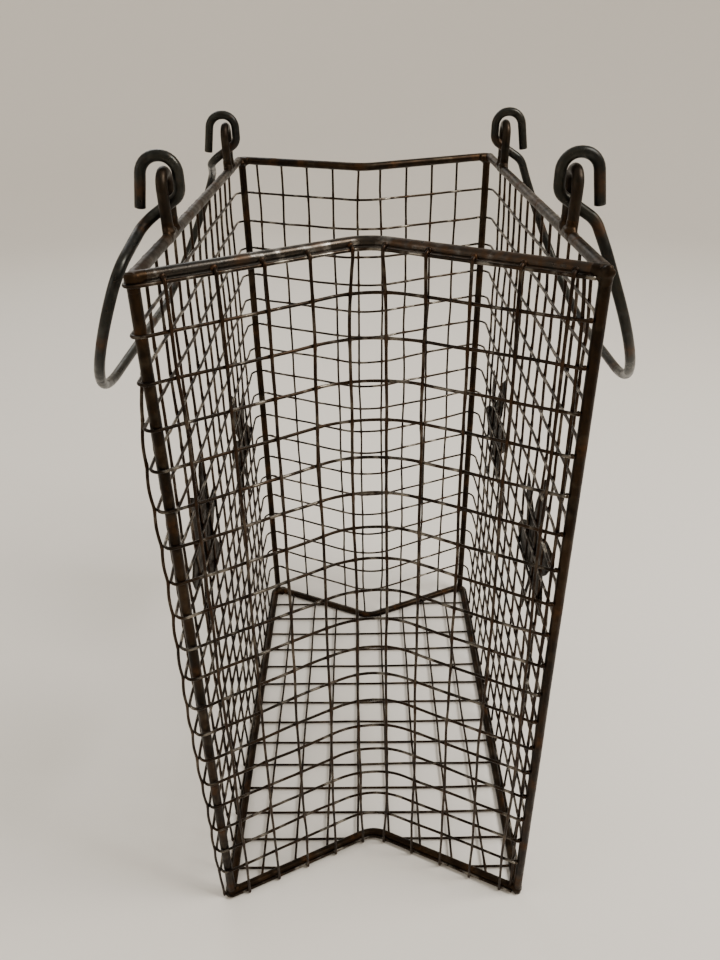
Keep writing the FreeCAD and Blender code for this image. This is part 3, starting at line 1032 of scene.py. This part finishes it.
def build_eyes():
    for name, (side, middle, *_) in BAILS.items():
        for place, y in (("front", middle - EYE_Y), ("back", middle + EYE_Y)):
            x = side * HALF_WIDTH
            seed = 400 + side + (4 if place == "back" else 0)
            path = rounded(
                [
                    vec(x, y - EYE_FOOT_HALF, RIM_Z + 1.0),
                    vec(x, y - EYE_TOP_HALF, HINGE_Z),
                    vec(x, y + EYE_TOP_HALF, HINGE_Z),
                    vec(x, y + EYE_FOOT_HALF, RIM_Z + 1.0),
                ],
                [EYE_BEND, EYE_BEND],
                1.2,
            )
            pile = Pile()
            tube(pile, path, EYE_R, ROD_SIDES, 0.08, 7.0, seed, rust=0.15)
            made = pile.piece(f"eye_{place}_{name}_looks", EYE_IRON, slot="frame_iron")
            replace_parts(made, f"eye_{place}_{name}")
            weld = Pile()
            foot = vec(x, y, RIM_Z)
            reach = vec(0, EYE_STUB, 0)
            weld_stub(weld, foot - reach, foot + reach, ROD_R + EYE_SKIN, EYE_WELD_ROUGH, seed)
            for leg in (-1, 1):
                low = vec(x, y + leg * EYE_FOOT_HALF, RIM_Z + 1.0)
                top = vec(x, y + leg * (EYE_FOOT_HALF + 0.7), RIM_Z + EYE_WELD_TOP)
                weld_stub(weld, low, top, EYE_R + EYE_SKIN, EYE_WELD_ROUGH, seed)
                spot = low + vec(-side * 0.6, leg * 1.2, 2.4)
                bead(weld, spot, LEG_BEAD, lumps=WELD_LUMPS, seed=seed + leg)
            bead(weld, foot + UP * 2.4, FOOT_BEAD, lumps=WELD_LUMPS, seed=seed + 5)
            weld_piece(weld, f"weld_eye_{place}_{name}")


HOOK = [  # how far out and up from the hinge's middle, and the radius of the bend there
    (15.5, -18.5, None),
    (11.5, 8.6, 10.5),
    (-8.0, 8.6, 9.5),
    (-8.0, -12.0, 8.0),
]
HOOK_END = (14.0, 14.0)  # how far down the hook turns into the bail, and the radius there
SHOULDER_RADIUS = 20.0


def bail_path(side, middle, half_width, depth, corner_radius):
    """From one hook round the grip to the other."""

    def hanging(y, down):
        out = HANG_OUT + down * math.sin(HANG_ANGLE)
        return out, y, -HANG_DROP - down * math.cos(HANG_ANGLE)

    half = [((out, EYE_Y, up), radius) for out, up, radius in HOOK]
    half += [
        (hanging(EYE_Y, HOOK_END[0]), HOOK_END[1]),
        (hanging(half_width, BAIL_SHOULDER), SHOULDER_RADIUS),
        (hanging(half_width, depth), corner_radius),
    ]
    both = [((o, -y, z), r) for (o, y, z), r in half] + half[::-1]
    points = [vec(side * (HALF_WIDTH + o), middle + y, HINGE_Z + z) for (o, y, z), _ in both]
    return rounded(points, [r for _, r in both[1:-1]], 2.0)


def build_bails():
    for name, shape in BAILS.items():
        path = bail_path(*shape)
        side = shape[0]
        pile = Pile()
        stains = scattered_rust(path, 7, 12 + side)
        ends = (0.22, 0.22)
        seed = 20 + side
        tube(pile, path, ROD_R, ROD_SIDES, ROD_ROUGH, BAIL_SCALE, seed, ends, stains, rust=0.04)
        made = pile.piece(f"bail_{name}_looks", BAIL_IRON, "bail_iron", name + "_bail")
        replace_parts(made, "bail_" + name)


# ---- leaves
LEAVES = {  # side, Y, drop below the rim and lean towards the back in degrees
    "left_front": (-1, -82.0, 226.0, 24),
    "left_back": (-1, 110.0, 250.0, -16),
    "right_front": (1, -80.0, 238.0, -8),
    "right_back": (1, 108.0, 234.0, -20),
}
LEAF_HALF = [  # angle from the tip in degrees, and distance from the middle of the blade
    (0, 68.0),
    (10, 52.0),
    (26, 25.0),
    (38, 46.0),
    (48, 60.0),
    (60, 48.0),
    (82, 30.0),
    (98, 43.0),
    (108, 52.0),
    (122, 46.0),
    (138, 41.0),
    (160, 20.0),
    (180, 19.0),
]
VEIN_TIPS = ((0, 62.0), (48, 54.0), (-48, 54.0), (108, 46.0), (-108, 46.0))
VEIN_ROOT = (0.0, -20.0)
LEAF_SHEET = 0.6
LEAF_TURNS = 288
LEAF_RINGS = 30
STEM_R = 1.3


def leaf_radius(turn):
    """The blade's edge, as a distance from its middle, at a turn from the tip in degrees."""
    turn = abs((turn + 180) % 360 - 180)
    angles = [a for a, _ in LEAF_HALF]
    sizes = [r for _, r in LEAF_HALF]
    return float(np.interp(turn, angles, sizes))


def vein_height(across, up):
    """Raised veins on the blade, from the root to the tip of each lobe, with side veins."""
    height = 0.0
    root = np.array(VEIN_ROOT)
    here = np.array((across, up)) - root
    for angle, reach in VEIN_TIPS:
        turn = math.radians(angle)
        tip = np.array((math.sin(turn), math.cos(turn))) * reach - root
        length = np.linalg.norm(tip)
        way = tip / length
        along = here.dot(way)
        off = here[0] * way[1] - here[1] * way[0]
        if -2 < along < length:
            fade = 1 - 0.6 * along / length
            height = max(height, 1.5 * fade * math.exp(-((off / (1.5 * fade)) ** 2)))
            if along > 8:
                branch = (along - abs(off) * 0.9) % 9.0
                near = min(branch, 9.0 - branch)
                spread = math.exp(-((off / (0.26 * length)) ** 2))
                height = max(height, 0.55 * spread * fade * math.exp(-((near / 0.9) ** 2)))
    return height


def build_leaves():
    face = HALF_WIDTH + UPRIGHT_OUT + WIRE_R
    for number, (name, (side, y, drop, lean)) in enumerate(LEAVES.items()):
        z = RIM_Z - drop
        bulge = side_bulge(side, y, z)
        middle = vec(side * (face + bulge * 0.8 + 0.6), y, z)
        tilt = math.radians(lean)
        across_axis = vec(0, math.cos(tilt), -math.sin(tilt))
        up_axis = vec(0, math.sin(tilt), math.cos(tilt))
        outside = vec(side, 0, 0)
        grid = []
        for ring in range(LEAF_RINGS + 1):
            share = ring / LEAF_RINGS
            row = []
            for k in range(LEAF_TURNS):
                turn = 360 * k / LEAF_TURNS
                size = leaf_radius(turn) * share
                across = size * math.sin(math.radians(turn))
                up = size * math.cos(math.radians(turn))
                lift = vein_height(across, up)
                ripple = 1.1 * share**2 * wander((across, up, 0), 16.0, 80 + number)
                cup = 2.6 * share**3 * (0.6 + 0.4 * math.cos(math.radians(turn * 5)))
                flat = middle + across_axis * across + up_axis * up
                row.append(flat + outside * (lift + ripple + cup))
            grid.append(row)
        pile = Pile()
        vertices = [p for row in grid for p in row]
        count = len(vertices)
        vertices += [p - outside * LEAF_SHEET * 2 for p in vertices]
        faces = []
        for quad in ring_faces(LEAF_RINGS + 1, LEAF_TURNS):
            front = quad if side < 0 else quad[::-1]
            faces.append(front)
            faces.append(tuple(i + count for i in front[::-1]))
        edge = LEAF_RINGS * LEAF_TURNS
        for k in range(LEAF_TURNS):
            a = edge + k
            b = edge + (k + 1) % LEAF_TURNS
            wall = (a, a + count, b + count, b)
            faces.append(wall if side < 0 else wall[::-1])
        rust = [0.15 + 0.3 * max(0.0, wander(v, 14.0, 90 + number)) for v in vertices]
        pile.add(vertices, faces, rust)
        made = pile.piece(f"leaf_{name}_looks", LEAF_IRON, slot="leaf_sheet")
        merge_middle(made)
        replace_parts(made, "leaf_" + name)
        stem = Pile()
        lift = outside * (STEM_R + 0.4)
        root = middle + lift + up_axis * 16
        knee = middle + lift - up_axis * 30
        path = rounded([root, knee, middle + lift - up_axis * 70 + across_axis * 10], [60.0], 1.5)
        tube(stem, path, STEM_R, 12, 0.1, 6.0, number, (0.25, 0.3), rust=0.2)
        made = stem.piece(f"leaf_stem_{name}_looks", LEAF_IRON, slot="leaf_sheet")
        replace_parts(made, "leaf_stem_" + name)


def merge_middle(made):
    """Closes the point where all the blade's rings start."""
    work = bmesh.new()
    work.from_mesh(made.data)
    bmesh.ops.remove_doubles(work, verts=work.verts, dist=1e-6)
    bmesh.ops.recalc_face_normals(work, faces=work.faces)
    work.to_mesh(made.data)
    work.free()
    made.data.polygons.foreach_set("use_smooth", [True] * len(made.data.polygons))


# ---- stage
CAMERA_PLACE = (-3.21, -551.26, 582.34)  # its height is above the middle of the bottom rods
CAMERA_YAW = math.radians(-0.41)
CAMERA_PITCH = math.radians(30.20)
CAMERA_ROLL = math.radians(-0.96)
LENS = 29.0625
SENSOR = 36.0


def build_camera():
    camera = bpy.data.cameras.new("camera")
    camera.sensor_fit = "VERTICAL"
    camera.sensor_height = SENSOR
    camera.lens = LENS
    camera.clip_start = 0.01
    made = placed("camera", camera)
    ahead = Vector(
        (
            math.sin(CAMERA_YAW) * math.cos(CAMERA_PITCH),
            math.cos(CAMERA_YAW) * math.cos(CAMERA_PITCH),
            -math.sin(CAMERA_PITCH),
        )
    )
    right = ahead.cross(Vector((0, 0, 1))).normalized()
    above = right.cross(ahead)
    turned_right = math.cos(CAMERA_ROLL) * right + math.sin(CAMERA_ROLL) * above
    turned_above = -math.sin(CAMERA_ROLL) * right + math.cos(CAMERA_ROLL) * above
    axes = Matrix((turned_right, turned_above, -ahead)).transposed().to_4x4()
    place = Vector(CAMERA_PLACE) + Vector((0, 0, BOTTOM_Z))
    made.matrix_world = Matrix.Translation(place * MM) @ axes
    bpy.context.scene.camera = made


LAMP_TARGET = (0, 0, 0.25)
LAMPS = {  # place, size, power and colour, in metres and watts
    "key": ((1.25, -0.35, 1.85), (0.8, 0.8), 46, (1.0, 0.97, 0.92)),
    "back": ((-0.7, 1.5, 1.5), (1.0, 0.8), 8, (0.93, 0.97, 1.0)),
    "left": ((-1.7, -0.8, 0.9), (1.0, 1.2), 7, (1.0, 0.98, 0.95)),
}


def lamp(name, place, size, power, colour):
    light = bpy.data.lights.new(name, "AREA")
    light.shape = "RECTANGLE"
    light.size, light.size_y = size
    light.energy = power
    light.color = colour
    made = placed(name, light)
    made.location = place
    towards = Vector(LAMP_TARGET) - Vector(place)
    made.rotation_euler = towards.to_track_quat("-Z", "Y").to_euler()


FLOOR_REACH = 2.2  # metres, where the floor starts to curve up
FLOOR_CURVE = 1.1
WALL_TOP = 3.4
STAGE_SIDES = 96
CURVE_STEPS = 12
FLOOR_COLOUR = (0.80, 0.76, 0.70, 1)
WORLD_COLOUR = (0.90, 0.86, 0.79, 1)
WORLD_STRENGTH = 0.8


def build_stage():
    """A round pale floor that curves up into a wall, so that no edge shows, with lamps and sky."""
    profile = [(0.6, 0.0), (FLOOR_REACH * 0.6, 0.0), (FLOOR_REACH, 0.0)]
    for k in range(1, CURVE_STEPS + 1):
        angle = math.pi / 2 * k / CURVE_STEPS
        reach = FLOOR_REACH + FLOOR_CURVE * math.sin(angle)
        profile.append((reach, FLOOR_CURVE * (1 - math.cos(angle))))
    profile.append((FLOOR_REACH + FLOOR_CURVE, WALL_TOP))
    vertices = [(0.0, 0.0, 0.0)]
    for reach, z in profile:
        for k in range(STAGE_SIDES):
            angle = 2 * math.pi * k / STAGE_SIDES
            vertices.append((reach * math.cos(angle), reach * math.sin(angle), z))
    faces = fan(0, 1, STAGE_SIDES) + ring_faces(len(profile), STAGE_SIDES, 1)
    mesh = bpy.data.meshes.new("floor")
    mesh.from_pydata(vertices, [], faces)
    mesh.polygons.foreach_set("use_smooth", [True] * len(mesh.polygons))
    floor = placed("floor", mesh)
    paint = bpy.data.materials.new("floor_paint")
    paint.use_nodes = True
    shader = paint.node_tree.nodes["Principled BSDF"]
    shader.inputs["Base Color"].default_value = FLOOR_COLOUR
    shader.inputs["Roughness"].default_value = 0.7
    mesh.materials.append(paint)
    world = bpy.data.worlds.new("world")
    world.use_nodes = True
    sky = world.node_tree.nodes["Background"]
    sky.inputs["Color"].default_value = WORLD_COLOUR
    sky.inputs["Strength"].default_value = WORLD_STRENGTH
    bpy.context.scene.world = world
    for name, settings in LAMPS.items():
        lamp(name, *settings)


build_camera()
build_frame()
build_mesh()
build_bottom()
build_corner_welds()
build_eyes()
build_bails()
build_leaves()
build_stage()
